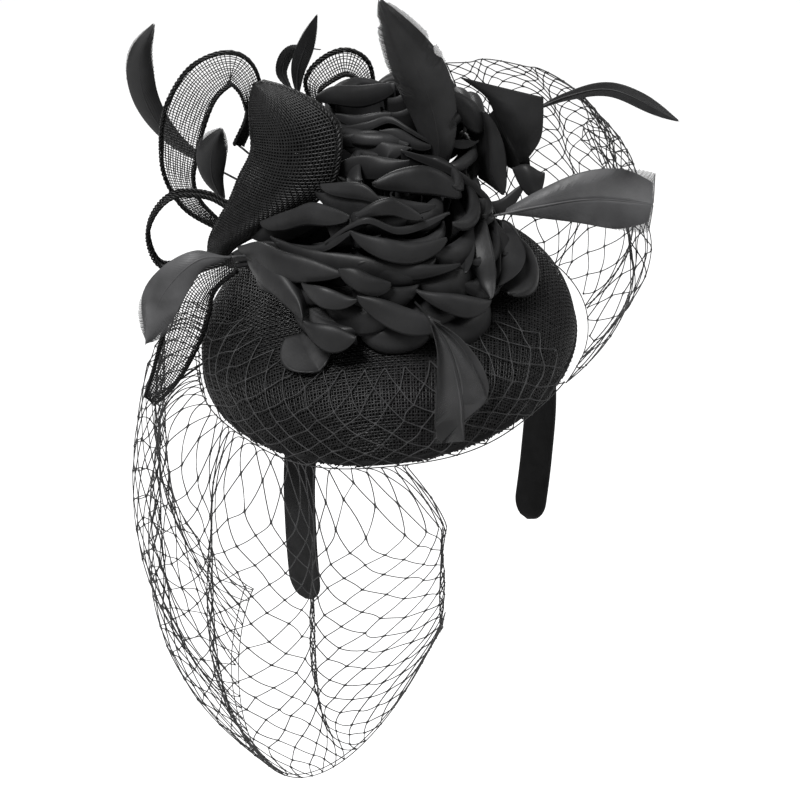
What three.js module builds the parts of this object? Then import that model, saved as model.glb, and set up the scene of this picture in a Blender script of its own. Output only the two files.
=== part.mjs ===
// A fascinator: a tilted straw crown on a sprung headband, trimmed with two cloth flowers,
// wired straw loops, feathers and a gathered net veil. Millimetres, +Z up. The wearer faces -Y
// and the wearer's right is -X. The origin is the middle of the headband's inner face at its top.
import * as THREE from "three";

const GAP = 0.3;

// Headband
const BAND_WIDTH = 17;
const BAND_HEIGHT = 128.5;
const BAND_HALF_SPAN = 68.5;
const TIP_HALF_SPAN = 64;
const CORE_WIDTH = 14.6;
const CORE_THICKNESS = 1;
const COVER_THICKNESS = 0.4;
const BAND_THICKNESS = CORE_THICKNESS + 2 * (COVER_THICKNESS + GAP);
const SEAM_WIDTH = 1;
const SEAM_FROM_MIDDLE = 5;
const TIP_ROUNDING = 10;
const ARM_GAP = 0.8;
const HINGE_AT = 0.27;
const BRIDGE_STEPS = 15;

// Crown, in its own frame: the rim lies in z = 0 and the dome rises along +Z
const CROWN_RADIUS = 75;
const CROWN_HEIGHT = 35;
const CROWN_SQUARENESS = 3;
const CROWN_CENTRE = new THREE.Vector3(-23, -2, -31.5);
const LEAN_RIGHT = THREE.MathUtils.degToRad(19.5);
const LEAN_FORWARD = THREE.MathUtils.degToRad(10);
const TRIM_TURN = THREE.MathUtils.degToRad(-45);
const STRAW_THICKNESS = 1.2;
const LINING_THICKNESS = 0.6;
const BINDING_HEIGHT = 8;
const BINDING_THICKNESS = 0.5;
const RIM_WIRE_RADIUS = 0.7;
const ROUND_STEPS = 32;

// Saddle
const PAD_LENGTH = 28;
const PAD_WIDTH = 18;
const PAD_THICKNESS = 1.6;
const PAD_HEIGHT = 5;
const SADDLE_FROM_MIDDLE = 28;

// Trimming
const FELT_RADIUS = 42;
const FELT_THICKNESS = 1.4;
const PETAL_THICKNESS = 0.6;
const ROSE_LEAN = THREE.MathUtils.degToRad(8);
const LOOP_THICKNESS = 0.8;
const LOOP_EDGE = 1.8;
const QUILL_THICKNESS = 1.2;
const VANE_THICKNESS = 0.5;
const NET_THICKNESS = 0.6;

const root = new THREE.Group();
const crown = new THREE.Group();
const saddle = new THREE.Group();
const headband = new THREE.Group();
root.add(crown, saddle, headband);

const vec = (x, y, z) => new THREE.Vector3(x, y, z);
const points = (list) => list.map((p) => vec(...p));
const spline = (list) => new THREE.CatmullRomCurve3(points(list));

const looks = {
  straw: new THREE.MeshStandardMaterial({ color: 0x0b0b0c, roughness: 0.75, metalness: 0 }),
  satin: new THREE.MeshStandardMaterial({ color: 0x161618, roughness: 0.5, metalness: 0 }),
  felt: new THREE.MeshStandardMaterial({ color: 0x0c0c0d, roughness: 0.95, metalness: 0 }),
  feather: new THREE.MeshStandardMaterial({ color: 0x1c1c1e, roughness: 0.6, metalness: 0 }),
  net: new THREE.MeshStandardMaterial({ color: 0x0a0a0a, roughness: 0.6, metalness: 0 }),
  wire: new THREE.MeshStandardMaterial({ color: 0x2a2a2c, roughness: 0.35, metalness: 1 }),
  ribbon: new THREE.MeshStandardMaterial({ color: 0x0d0d0e, roughness: 0.85, metalness: 0 }),
  spring: new THREE.MeshStandardMaterial({ color: 0x151516, roughness: 0.5, metalness: 0 }),
};

function add(group, name, geometry, look) {
  const mesh = new THREE.Mesh(geometry, looks[look]);
  mesh.name = name;
  group.add(mesh);
  return mesh;
}

// A thin closed sheet that follows surface(u, v), with u and v from 0 to 1.
function bentSheet(surface, thickness, stepsU, stepsV) {
  const geometry = new THREE.BoxGeometry(1, 1, 1, stepsU, stepsV, 1);
  const place = geometry.getAttribute("position");
  const nudge = 1e-3;
  for (let i = 0; i < place.count; i++) {
    const u = Math.round((place.getX(i) + 0.5) * stepsU) / stepsU;
    const v = Math.round((place.getY(i) + 0.5) * stepsV) / stepsV;
    const centre = surface(u, v);
    const alongU = surface(u + nudge, v).sub(surface(u - nudge, v));
    const alongV = surface(u, v + nudge).sub(surface(u, v - nudge));
    const normal = alongU.cross(alongV).normalize();
    centre.addScaledVector(normal, Math.sign(place.getZ(i)) * (thickness / 2));
    place.setXYZ(i, centre.x, centre.y, centre.z);
  }
  return geometry;
}

// Evenly spaced places along a curve, each with the direction that a section's width lies in.
function stationsAlong(curve, steps, widthDirection, from = 0, to = 1) {
  return Array.from({ length: steps + 1 }, (_, i) => {
    const t = from + ((to - from) * i) / steps;
    const tangent = curve.getTangentAt(t);
    const side = widthDirection.clone().addScaledVector(tangent, -widthDirection.dot(tangent));
    side.normalize();
    return { t: i / steps, place: curve.getPointAt(t), side, up: tangent.clone().cross(side) };
  });
}

// A closed solid through a row of sections; outlineAt(t) lists a section's points anticlockwise.
function loft(stations, outlineAt) {
  const positions = [];
  const index = [];
  const size = outlineAt(0).length;
  for (const { t, place, side, up } of stations) {
    for (const [across, above] of outlineAt(t)) {
      const corner = place.clone().addScaledVector(side, across).addScaledVector(up, above);
      positions.push(corner.x, corner.y, corner.z);
    }
  }
  for (let k = 0; k + 1 < stations.length; k++) {
    for (let i = 0; i < size; i++) {
      const j = (i + 1) % size;
      const [a, b] = [k * size + i, k * size + j];
      index.push(a, b, b + size, a, b + size, a + size);
    }
  }
  const capOf = (t) =>
    THREE.ShapeUtils.triangulateShape(outlineAt(t).map((p) => new THREE.Vector2(...p)), []);
  for (const [a, b, c] of capOf(0)) index.push(a, c, b);
  const last = (stations.length - 1) * size;
  for (const [a, b, c] of capOf(1)) index.push(last + a, last + b, last + c);
  const geometry = new THREE.BufferGeometry();
  geometry.setAttribute("position", new THREE.Float32BufferAttribute(positions, 3));
  geometry.setIndex(index);
  return geometry;
}

const rectangle = (halfWidth, low, high) => [
  [-halfWidth, low],
  [halfWidth, low],
  [halfWidth, high],
  [-halfWidth, high],
];

// ---------- Headband ----------

const halfArch = [
  [TIP_HALF_SPAN, 3, -BAND_HEIGHT],
  [BAND_HALF_SPAN - 1, 2, -BAND_HEIGHT * 0.78],
  [BAND_HALF_SPAN, 1, -BAND_HEIGHT * 0.54],
  [BAND_HALF_SPAN * 0.89, 0.3, -BAND_HEIGHT * 0.26],
  [BAND_HALF_SPAN * 0.54, 0, -BAND_HEIGHT * 0.07],
];
const arch = spline([
  ...halfArch.map(([x, y, z]) => [-x, y, z]),
  [0, 0, 0],
  ...halfArch.toReversed(),
]);
const acrossBand = vec(0, 1, 0);

// The band narrows to a half round over the last stretch before each tip.
function tipShare(t, tipAt, armLength) {
  const fromTip = Math.abs(t - tipAt) * armLength;
  if (fromTip >= TIP_ROUNDING) return 1;
  const inside = 1 - fromTip / TIP_ROUNDING;
  return Math.max(0.12, Math.sqrt(1 - inside * inside));
}

function coreOutline(share) {
  const low = COVER_THICKNESS + GAP;
  return rectangle((CORE_WIDTH / 2) * share, low, low + CORE_THICKNESS);
}

// The cloth cover is a flat tube with its seam left open on the inner face, near the back edge.
function coverOutline(share) {
  const outer = Math.max((BAND_WIDTH / 2) * share, 2.4 * SEAM_WIDTH);
  const wall = COVER_THICKNESS;
  const inner = outer - wall;
  const shift = SEAM_FROM_MIDDLE * share;
  const seam = SEAM_WIDTH / 2;
  return [
    [shift + seam, 0],
    [outer, 0],
    [outer, BAND_THICKNESS],
    [-outer, BAND_THICKNESS],
    [-outer, 0],
    [shift - seam, 0],
    [shift - seam, wall],
    [-inner, wall],
    [-inner, BAND_THICKNESS - wall],
    [inner, BAND_THICKNESS - wall],
    [inner, wall],
    [shift + seam, wall],
  ];
}

// The middle facet of the bridge is flat, and it lies exactly on z = 0.
function bridgeSag(cut) {
  const halfFacet = (0.5 - HINGE_AT - cut) / BRIDGE_STEPS;
  return -arch.getPointAt(0.5 - halfFacet).z;
}

function makeHeadband() {
  const archLength = arch.getLength();
  const cut = ARM_GAP / 2 / archLength;
  headband.position.z = bridgeSag(cut);
  const coverInset = (GAP + COVER_THICKNESS) / archLength;
  const pieces = [
    { name: "arm_right", from: 0, to: HINGE_AT - cut, tipAt: 0, steps: 16 },
    { name: "bridge", from: HINGE_AT + cut, to: 1 - HINGE_AT - cut, tipAt: -1, steps: BRIDGE_STEPS },
    { name: "arm_left", from: 1 - HINGE_AT + cut, to: 1, tipAt: 1, steps: 16 },
  ];
  for (const { name, from, to, tipAt, steps } of pieces) {
    const length = (to - from) * archLength;
    const share = (t) => tipShare(t, tipAt, length);
    const cover = stationsAlong(arch, steps, acrossBand, from, to);
    add(headband, `band_cover_${name}`, loft(cover, (t) => coverOutline(share(t))), "ribbon");
    const coreFrom = tipAt === 0 ? from + 2 * coverInset : from;
    const coreTo = tipAt === 1 ? to - 2 * coverInset : to;
    const core = stationsAlong(arch, steps, acrossBand, coreFrom, coreTo);
    add(headband, `band_core_${name}`, loft(core, (t) => coreOutline(share(t))), "spring");
  }
}

// ---------- Crown ----------

// Height of a dome of the given size at a distance from its axis.
function domeHeight(distance, radius = CROWN_RADIUS, height = CROWN_HEIGHT) {
  const share = Math.min(1, distance / radius) ** CROWN_SQUARENESS;
  return height * (1 - share) ** (1 / CROWN_SQUARENESS);
}

function domeProfile(inset, lowest, steps) {
  const radius = CROWN_RADIUS - BINDING_THICKNESS - GAP - inset;
  const height = CROWN_HEIGHT - inset;
  return Array.from({ length: steps + 1 }, (_, i) => {
    const angle = ((Math.PI / 2) * i) / steps;
    const distance = radius * Math.cos(angle) ** (2 / CROWN_SQUARENESS);
    const rise = height * Math.sin(angle) ** (2 / CROWN_SQUARENESS);
    return new THREE.Vector2(i === steps ? 0 : distance, Math.max(rise, lowest));
  });
}

// A ring or shell turned about the crown's axis; the profile lists radius and height.
function turned(profile) {
  return new THREE.LatheGeometry(profile, ROUND_STEPS).rotateX(Math.PI / 2);
}

function domeShell(inset, thickness, lowest) {
  const steps = 6;
  const outside = domeProfile(inset, lowest, steps);
  const inside = domeProfile(inset + thickness, lowest, steps);
  return turned([...inside.toReversed(), ...outside]);
}

function makeCrown() {
  const shellLow = BINDING_THICKNESS + 2 * RIM_WIRE_RADIUS + 2 * GAP;
  add(crown, "crown_shell", domeShell(0, STRAW_THICKNESS, shellLow), "straw");
  const liningInset = STRAW_THICKNESS + GAP;
  add(crown, "crown_lining", domeShell(liningInset, LINING_THICKNESS, shellLow), "straw");

  const wireRadius = CROWN_RADIUS - 2;
  const wireHeight = BINDING_THICKNESS + GAP + RIM_WIRE_RADIUS;
  const section = Array.from({ length: 7 }, (_, i) => {
    const angle = (i / 6) * 2 * Math.PI;
    const distance = wireRadius + RIM_WIRE_RADIUS * Math.cos(angle);
    return new THREE.Vector2(distance, wireHeight + RIM_WIRE_RADIUS * Math.sin(angle));
  });
  add(crown, "rim_wire", turned(section), "wire");

  const inside = CROWN_RADIUS - 4.2;
  const wall = BINDING_THICKNESS;
  const binding = [
    [inside, 0],
    [CROWN_RADIUS, 0],
    [CROWN_RADIUS, BINDING_HEIGHT],
    [CROWN_RADIUS - wall, BINDING_HEIGHT],
    [CROWN_RADIUS - wall, wall],
    [inside + wall, wall],
    [inside + wall, BINDING_HEIGHT - 1],
    [inside, BINDING_HEIGHT - 1],
    [inside, 0],
  ];
  add(crown, "rim_binding", turned(binding.map((p) => new THREE.Vector2(...p))), "ribbon");
}

// The felt saddle holds the headband against the top of the lining.
function makeSaddle() {
  const pad = new THREE.BoxGeometry(PAD_LENGTH, PAD_WIDTH, PAD_THICKNESS);
  add(saddle, "saddle_pad", pad.translate(0, 0, PAD_HEIGHT), "felt");

  const strapWidth = 12;
  const felt = 0.9;
  const flange = 4.9;
  const sideOfBand = 11;
  const flangeEnd = 18;
  const route = points([
    [0, -flangeEnd, flange],
    [0, -sideOfBand, flange],
    [0, -sideOfBand, 0.2],
    [0, sideOfBand, -3.5],
    [0, sideOfBand, flange],
    [0, flangeEnd, flange],
  ]);
  const stations = route.map((place, i) => {
    const before = route[Math.max(i - 1, 0)];
    const after = route[Math.min(i + 1, route.length - 1)];
    const tangent = after.clone().sub(before).normalize();
    const side = vec(1, 0, 0);
    return { t: i / (route.length - 1), place, side, up: tangent.cross(side) };
  });
  const section = rectangle(strapWidth / 2, -felt / 2, felt / 2);
  add(saddle, "keeper_strap", loft(stations, () => section), "felt");

  const tackHeight = flange - felt / 2 - GAP - 0.4;
  const tackFromMiddle = 15.5;
  for (const [name, side] of [["front", -1], ["back", 1]]) {
    const tack = new THREE.BoxGeometry(8, 1.2, 0.6);
    tack.translate(0, side * tackFromMiddle, tackHeight);
    add(saddle, `keeper_tack_${name}`, tack, "ribbon");
  }
}

// ---------- Flowers ----------

// One ring of joined petals: cupped, waved along its edge, and cut short on the sides in limits.
function petalRing({ radius, hole, inner, outer, waves, waveHeight, limits, shift }) {
  const seam = 0.01;
  return bentSheet(
    (u, v) => {
      const angle = Math.PI / 2 + 2 * Math.PI * (seam + (1 - 2 * seam) * u);
      let reach = radius;
      for (const [direction, distance] of limits) {
        const towards = Math.cos(angle - direction);
        if (towards > 0) reach = Math.min(reach, distance / towards);
      }
      const distance = hole + (Math.max(reach, hole + 6) - hole) * v;
      const wave = waveHeight * Math.sin(waves * angle) * v * v;
      const height = inner + (outer - inner) * Math.max(v, 0) ** 1.6 + wave;
      return vec(shift + distance * Math.cos(angle), distance * Math.sin(angle), height);
    },
    PETAL_THICKNESS,
    24,
    3,
  );
}

function budGeometry(radius, low, high) {
  const steps = 6;
  const profile = Array.from({ length: steps + 1 }, (_, i) => {
    const angle = (Math.PI * i) / steps;
    const atEnd = i === 0 || i === steps;
    const distance = atEnd ? 0 : radius * Math.sin(angle) ** 0.8;
    return new THREE.Vector2(distance, low + ((high - low) * (1 - Math.cos(angle))) / 2);
  });
  return new THREE.LatheGeometry(profile, 12).rotateX(Math.PI / 2);
}

function stemGeometry(low, high) {
  const stem = new THREE.CylinderGeometry(2.4, 3, high - low, 10).rotateX(Math.PI / 2);
  return stem.translate(0, 0, (low + high) / 2);
}

const LEFT = Math.PI;
const BACK = Math.PI / 2;
const FRONT = -Math.PI / 2;
const RIGHT = 0;

function makeRose() {
  const rose = new THREE.Group();
  rose.position.set(2, -6, 0);
  rose.rotation.y = ROSE_LEAN;
  crown.add(rose);
  add(rose, "rose_stem", stemGeometry(37.4, 45.5), "felt");
  const radii = [50, 47, 43, 37, 30, 22];
  radii.forEach((radius, i) => {
    const limits = [[BACK, 17]];
    if (i >= 2) limits.push([LEFT, 15]);
    const ring = petalRing({
      radius,
      hole: 8,
      inner: 44.5 + 3 * i,
      outer: 45.5 + 8 * i,
      waves: 6,
      waveHeight: 1.6,
      limits,
      shift: 0.8 * i,
    });
    add(rose, `rose_petals_${i + 1}`, ring, "satin");
  });
  add(rose, "rose_heart", budGeometry(6, 46, 90).translate(2, 0, 0), "satin");
}

function makeSecondBloom() {
  const bloom = new THREE.Group();
  bloom.position.set(14, 40, 0);
  crown.add(bloom);
  add(bloom, "bloom_stem", stemGeometry(35.2, 48.5), "felt");
  const radii = [38, 33, 26];
  radii.forEach((radius, i) => {
    const ring = petalRing({
      radius,
      hole: 8,
      inner: 50 + 6 * i,
      outer: 66 + 14 * i,
      waves: 5,
      waveHeight: 2,
      limits: [[FRONT, 24], [BACK, 18], [RIGHT, 25], [LEFT, 28]],
      shift: 0,
    });
    add(bloom, `bloom_petals_${i + 1}`, ring, "satin");
  });
  add(bloom, "bloom_heart", budGeometry(6, 49, 100), "satin");
}

function makeFeltBase() {
  const [centreX, centreY] = [3, 8];
  const sheet = (u, v) => {
    const [x, y] = [2 * u - 1, 2 * v - 1];
    const across = centreX + FELT_RADIUS * x * Math.sqrt(Math.max(0, 1 - (y * y) / 2));
    const away = centreY + FELT_RADIUS * y * Math.sqrt(Math.max(0, 1 - (x * x) / 2));
    const lift = GAP + FELT_THICKNESS / 2;
    return vec(across, away, domeHeight(Math.hypot(across, away)) + lift);
  };
  add(crown, "flower_felt", bentSheet(sheet, FELT_THICKNESS, 8, 8), "felt");
}

function makeLoosePetals() {
  const folded = (u, v) => {
    const width = 9 + 22 * Math.sin((Math.PI / 2) * v);
    const lean = 5 * (u - 0.5) * v;
    return vec(57 + (u - 0.5) * width, 21 + 9 * v + 3 * Math.cos(Math.PI * u), 68 + 40 * v - lean);
  };
  add(crown, "folded_petal", bentSheet(folded, PETAL_THICKNESS, 6, 6), "satin");
  const sepal = (u, v) => {
    const across = -22 + 22 * (u - 0.5) + 8 * (v - 0.5);
    const towards = -54 - 10 * (v - 0.5);
    const lift = 4;
    return vec(across, towards, domeHeight(Math.hypot(across, towards)) + lift);
  };
  add(crown, "front_sepal", bentSheet(sepal, PETAL_THICKNESS, 4, 4), "satin");
}

// ---------- Straw loops ----------

// A straw strip with a wired, rolled edge along both sides.
function strawStrip(route, steps, widthAt, widthDirection) {
  const stations = stationsAlong(spline(route), steps, widthDirection);
  return loft(stations, (t) => {
    const half = widthAt(t) / 2;
    const roll = Math.min(LOOP_EDGE, half * 0.6);
    const [thick, thin] = [LOOP_EDGE / 2, LOOP_THICKNESS / 2];
    return [
      [-half, -thick],
      [-half + roll, -thin],
      [half - roll, -thin],
      [half, -thick],
      [half, thick],
      [half - roll, thin],
      [-half + roll, thin],
      [-half, thick],
    ];
  });
}

const AWAY = vec(0, 1, 0);
const swelling = (narrow, wide) => (t) => narrow + (wide - narrow) * Math.sin(Math.PI * t);

function makeLoops() {
  const front = [
    [-30, 2, 41],
    [-54, 6, 44],
    [-64, 10, 60],
    [-59, 14, 84],
    [-46, 17, 104],
    [-28, 17, 110],
    [-17, 14, 100],
    [-22, 10, 82],
    [-38, 8, 66],
    [-52, 7, 55],
  ];
  add(crown, "loop_front", strawStrip(front, 22, swelling(6, 30), AWAY), "straw");
  const back = [
    [-28, 34, 40],
    [-56, 42, 42],
    [-76, 45, 58],
    [-77, 46, 82],
    [-67, 47, 102],
    [-52, 47, 112],
    [-43, 46, 98],
    [-46, 45, 74],
    [-60, 44, 56],
  ];
  add(crown, "loop_back", strawStrip(back, 20, swelling(6, 22), AWAY), "straw");
  const small = [
    [-60, 27, 42],
    [-74, 28, 30],
    [-87, 29, 24],
    [-93, 29, 38],
    [-87, 29, 54],
    [-74, 29, 62],
  ];
  add(crown, "loop_small", strawStrip(small, 12, () => 4, AWAY), "straw");
  const top = [
    [-12, 66, 72],
    [-24, 66, 88],
    [-18, 66, 98],
    [-4, 66, 97],
    [3, 66, 86],
    [-2, 66, 74],
  ];
  add(crown, "loop_top", strawStrip(top, 14, swelling(5, 10), AWAY), "straw");
  const tail = [
    [-54, -8, 44],
    [-72, -8, 36],
    [-87, -8, 12],
    [-99, -9, -11],
  ];
  const tailWidth = (t) => 6 + 12 * Math.sin(Math.PI * t * 0.7);
  add(crown, "bow_tail", strawStrip(tail, 10, tailWidth, AWAY), "straw");
}

// ---------- Feathers ----------

// A feather on one plane of barbs, thick along its quill; widest says where the vane is broadest.
function feather(name, route, { width, widest = 0.6, tip = 0.15, direction }) {
  const stations = stationsAlong(spline(route), 9, direction);
  const halfWidth = (t) => {
    const share = t < widest ? t / widest : 1 - ((1 - tip) * (t - widest)) / (1 - widest);
    return Math.max(0.9, (width / 2) * Math.sin((Math.PI / 2) * Math.min(1, share)) ** 1.3);
  };
  const shape = loft(stations, (t) => {
    const half = halfWidth(t);
    const [vane, quill] = [VANE_THICKNESS / 2, QUILL_THICKNESS / 2];
    return [
      [-half, -vane],
      [0, -quill],
      [half, -vane],
      [half, vane],
      [0, quill],
      [-half, vane],
    ];
  });
  add(crown, name, shape, "feather");
}

function makeFeathers() {
  const facing = vec(1, 0, 0);
  const top = [[26, 14, 62], [30, 14, 92], [27, 14, 122], [15, 14, 165]];
  feather("feather_top", top, { width: 21, widest: 0.45, direction: facing });
  const right = [[52, -3, 64], [68, -3, 67], [90, -3, 68], [111, -3, 61]];
  feather("feather_right", right, { width: 24, widest: 0.75, tip: 0.6, direction: vec(0, 0.45, 1) });
  const front = [[23, -57, 58], [29, -64, 46], [33, -74, 30], [31, -81, 12]];
  feather("feather_front", front, { width: 22, widest: 0.85, tip: 0.7, direction: facing });
  const left = [[-56, -14, 64], [-69, -18, 67], [-84, -22, 55], [-94, -25, 33]];
  feather("feather_left", left, { width: 16, widest: 0.6, direction: vec(-0.6, 0.45, 0.65) });
  const curl = [[-62, 64, 46], [-78, 64, 62], [-88, 64, 84], [-88, 64, 108], [-80, 64, 124]];
  feather("feather_curl", curl, { width: 12, widest: 0.65, direction: facing });
  const spray = [[-29, 76, 70], [-27, 76, 84], [-22, 76, 98], [-16, 76, 112]];
  feather("feather_spray", spray, { width: 7, widest: 0.5, direction: facing });
  const hook = [[-31, 80, 70], [-34, 80, 82], [-28, 80, 93], [-17, 80, 91]];
  feather("feather_hook", hook, { width: 7, widest: 0.5, direction: vec(0.6, 0.5, -0.6) });
  const arched = [[68, 38, 83], [82, 38, 89], [100, 35, 92], [126, 22, 84]];
  feather("feather_arched", arched, { width: 6, widest: 0.7, direction: vec(0.3, 0.5, 1) });
  const leaf = [[-60, 35, 52], [-64, 35, 66], [-62, 35, 80], [-57, 35, 90]];
  feather("feather_leaf", leaf, { width: 12, widest: 0.55, direction: facing });
}

// ---------- Veil ----------

const degrees = THREE.MathUtils.degToRad;
const RIM_TO_CHEEK = 6;

// Height of the rim's plane above a point of the row's own ground plan.
function rimHeight(x, y) {
  const right = (x - CROWN_CENTRE.x) * Math.tan(LEAN_RIGHT);
  const forward = (y - CROWN_CENTRE.y) * Math.tan(LEAN_FORWARD);
  return CROWN_CENTRE.z + right + forward;
}

function makeVeil() {
  // The part that lies over the front of the crown, from rim to flowers.
  const over = (u, v) => {
    const angle = degrees(-176 + 150 * u);
    const height = 2 + 24 * v;
    const share = (height / (CROWN_HEIGHT + 2)) ** CROWN_SQUARENESS;
    const distance = (CROWN_RADIUS + 1.5) * (1 - share) ** (1 / CROWN_SQUARENESS);
    return vec(distance * Math.cos(angle), distance * Math.sin(angle), height);
  };
  add(crown, "veil_crown", bentSheet(over, NET_THICKNESS, 16, 5), "net");

  // The full puff of net that stands out behind the flowers on the wearer's left.
  const puff = (u, v) => {
    const frontEdge = 6 - 28 * Math.max(0, 1 - 6 * v);
    const angle = degrees(frontEdge + (66 - frontEdge) * u);
    const rise = degrees(-14 + 54 * v);
    const distance = 68 + 48 * Math.cos(rise) ** 2 * Math.sin(Math.PI * (0.15 + 0.7 * u));
    const height = 36 + 74 * Math.sin(rise);
    return vec(distance * Math.cos(angle), distance * Math.sin(angle), height);
  };
  add(crown, "veil_puff", bentSheet(puff, NET_THICKNESS, 12, 10), "net");

  // The deep puff that hangs round the wearer's right cheek.
  const [halfWidth, halfDepth, middleY] = [104, 124, 5];
  const cheek = (u, v) => {
    const angle = degrees(108 + 120 * u);
    const along = Math.max(u, 0) ** 1.25;
    const lowest = -118 - 91 * Math.max(Math.sin(Math.PI * (0.12 + 0.87 * along)), 0) ** 0.8;
    const share = 0.88 + 0.12 * Math.sin(Math.PI * Math.min(1, 0.15 + 0.62 * v)) - 0.3 * v ** 5;
    const x = halfWidth * share * Math.cos(angle);
    const y = middleY + halfDepth * share * Math.sin(angle);
    const top = rimHeight(x, y) - RIM_TO_CHEEK;
    return vec(x, y, top + (lowest - top) * v);
  };
  add(root, "veil_cheek", bentSheet(cheek, NET_THICKNESS, 16, 8), "net");
}

// ---------- Assembly ----------

function placeCrown() {
  const normal = vec(-Math.tan(LEAN_RIGHT), -Math.tan(LEAN_FORWARD), 1).normalize();
  const along = vec(Math.cos(TRIM_TURN), Math.sin(TRIM_TURN), 0);
  along.addScaledVector(normal, -along.dot(normal)).normalize();
  const turn = new THREE.Matrix4().makeBasis(along, normal.clone().cross(along), normal);
  crown.position.copy(CROWN_CENTRE);
  crown.quaternion.setFromRotationMatrix(turn);
  return normal;
}

function placeSaddle(normal) {
  let at = 0.5;
  while (arch.getPointAt(at).x > -SADDLE_FROM_MIDDLE) at -= 0.001;
  const across = vec(0, 1, 0).addScaledVector(normal, -normal.y).normalize();
  const turn = new THREE.Matrix4().makeBasis(across.clone().cross(normal), across, normal);
  saddle.position.copy(arch.getPointAt(at));
  saddle.quaternion.setFromRotationMatrix(turn);
}

const crownNormal = placeCrown();
placeSaddle(crownNormal);
makeHeadband();
makeCrown();
makeSaddle();
makeFeltBase();
makeRose();
makeSecondBloom();
makeLoosePetals();
makeLoops();
makeFeathers();
makeVeil();

export default root;
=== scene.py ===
"""Looks for a fascinator: a tilted straw crown on a sprung headband, trimmed with two cloth
flowers, wired straw loops, feathers and a gathered net veil.

Lengths are millimetres until a mesh is made. Most pieces are placed in the crown's own frame,
where the rim lies in z = 0, x runs along the trimming, y points away behind it and z points
out of the crown's top.
"""

import math

import bpy
import numpy as np
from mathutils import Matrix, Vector


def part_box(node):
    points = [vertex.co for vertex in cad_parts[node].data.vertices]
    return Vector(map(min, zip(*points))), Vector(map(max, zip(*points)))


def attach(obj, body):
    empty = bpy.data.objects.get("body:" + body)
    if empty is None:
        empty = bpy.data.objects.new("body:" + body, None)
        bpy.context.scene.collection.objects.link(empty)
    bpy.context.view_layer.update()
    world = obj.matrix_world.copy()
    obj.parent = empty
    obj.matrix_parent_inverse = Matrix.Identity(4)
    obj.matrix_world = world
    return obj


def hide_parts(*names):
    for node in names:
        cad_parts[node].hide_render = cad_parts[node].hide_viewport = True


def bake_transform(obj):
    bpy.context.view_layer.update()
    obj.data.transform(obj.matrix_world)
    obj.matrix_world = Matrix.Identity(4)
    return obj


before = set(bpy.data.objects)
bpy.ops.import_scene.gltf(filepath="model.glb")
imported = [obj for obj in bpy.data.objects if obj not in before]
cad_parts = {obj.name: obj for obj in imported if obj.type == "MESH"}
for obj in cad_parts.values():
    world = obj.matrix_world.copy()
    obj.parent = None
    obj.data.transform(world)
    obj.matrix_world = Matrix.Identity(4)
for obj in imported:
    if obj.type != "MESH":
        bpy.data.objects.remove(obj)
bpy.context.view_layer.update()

MM = 0.001
PI = math.pi

# Crown
LEAN_RIGHT = math.radians(19.5)
LEAN_FORWARD = math.radians(10)
TRIM_TURN = math.radians(-45)
CROWN_RADIUS = 75
CROWN_HEIGHT = 35
CROWN_SQUARENESS = 3
RIM_WIRE_HEIGHT = 1.5
STRAW_PITCH = 1.2
STRAW_WIDTH = 0.56
STRAW_HEIGHT = 0.2
WEAVE_RISE = 0.16
BINDING_RADIUS = 72.8
BINDING_HALF_WIDTH = 2.1

# Headband
BAND_WIDTH = 17
BAND_THICKNESS = 2.4
BAND_HEIGHT = 128.5
BAND_HALF_SPAN = 68.5
TIP_HALF_SPAN = 64
TIP_ROUNDING = 10
HINGE_AT = 0.27
HINGE_REACH = 0.02
SADDLE_PAD_HEIGHT = 5
PAD_HALF_WIDTH = 14
PAD_HALF_DEPTH = 9
KEEPER_WIDTH = 12

# Trimming
ROSE_PLACE = (2, -6, 0)
ROSE_LEAN = math.radians(8)
BLOOM_PLACE = (14, 40, 0)
PETAL_THICKNESS = 0.45
PETAL_FOOT = 6
BUD_TURN = 4.6
BUD_PETALS = 3
SWAG_AXIS = (10, 6, 0)
FELT_RADIUS = 42
FOOT = (-6, 22, 43)
FELT_CENTRE = (3, 8)
FELT_THICKNESS = 1.4

# Net
NET_THREAD = 0.24
NET_JITTER = 0.12
PUFF_FOLDS = 4
CHEEK_FOLDS = 4.5
CHEEK_HALF_SPAN = (104, 124)
CHEEK_SHORTEST = 118
CHEEK_EXTRA_DROP = 91
PUFF_SWELL = 44

AWAY = (0, 1, 0)


# ---------- Frames ----------


def unit(vectors):
    """Each vector at length one."""
    return vectors / np.maximum(np.linalg.norm(vectors, axis=-1, keepdims=True), 1e-12)


def polar(out, angle, up):
    """Points at a distance out from the z axis, at an angle round it, and up along it."""
    return np.stack([out * np.cos(angle), out * np.sin(angle), up], axis=-1)


def smooth(share):
    """A soft step from 0 to 1."""
    share = np.clip(share, 0, 1)
    return share * share * (3 - 2 * share)


def rounded(value, power):
    """A sine or cosine bent towards a rounded square by a power below 1."""
    return np.sign(value) * np.abs(value) ** power


def interpolated(rows, share):
    """Points at shares of the way along evenly spaced rows."""
    row = np.clip(share, 0, 1) * (len(rows) - 1)
    whole = np.minimum(row.astype(int), len(rows) - 2)
    part = (row - whole)[..., None]
    return rows[whole] * (1 - part) + rows[whole + 1] * part


def crown_axes():
    """The crown's x, y and z axes in the row frame, as rows."""
    normal = unit(np.array([-math.tan(LEAN_RIGHT), -math.tan(LEAN_FORWARD), 1]))
    along = np.array([math.cos(TRIM_TURN), math.sin(TRIM_TURN), 0])
    along = unit(along - (along @ normal) * normal)
    return np.stack([along, np.cross(normal, along), normal])


def box_centre(node):
    """The middle of a CAD node's box, in millimetres."""
    low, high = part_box(node)
    return np.array((low + high) / 2) / MM


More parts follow.
